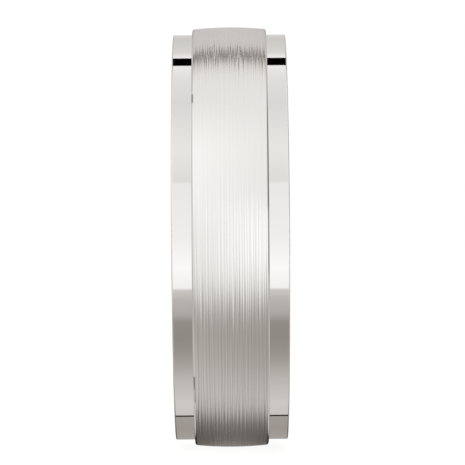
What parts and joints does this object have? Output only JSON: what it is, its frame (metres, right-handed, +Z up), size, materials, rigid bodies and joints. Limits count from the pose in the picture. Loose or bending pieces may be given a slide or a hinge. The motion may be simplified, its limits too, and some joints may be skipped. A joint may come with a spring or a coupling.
{
  "type": "wedding band",
  "caption": "Comfort-fit white metal wedding band: a raised, satin-brushed centre band between two low, mirror-polished rails.",
  "frame": {"origin": "centre of the bore, on the finger axis and halfway between the two side faces", "axes": "+X along the finger axis towards the right side face, +Z up with the ring standing on its rim, +Y away from a viewer who looks at the rim with +X to the right"},
  "size_m": [0.006, 0.0226, 0.0226],
  "materials": {
    "polished_white_gold": "mirror polish",
    "satin_white_gold": "satin, brushed around the ring"
  },
  "bodies": {
    "root": {"comfort_sleeve": "polished_white_gold", "centre_band": "satin_white_gold", "left_rail": "polished_white_gold", "right_rail": "polished_white_gold"}
  },
  "joints": []
}
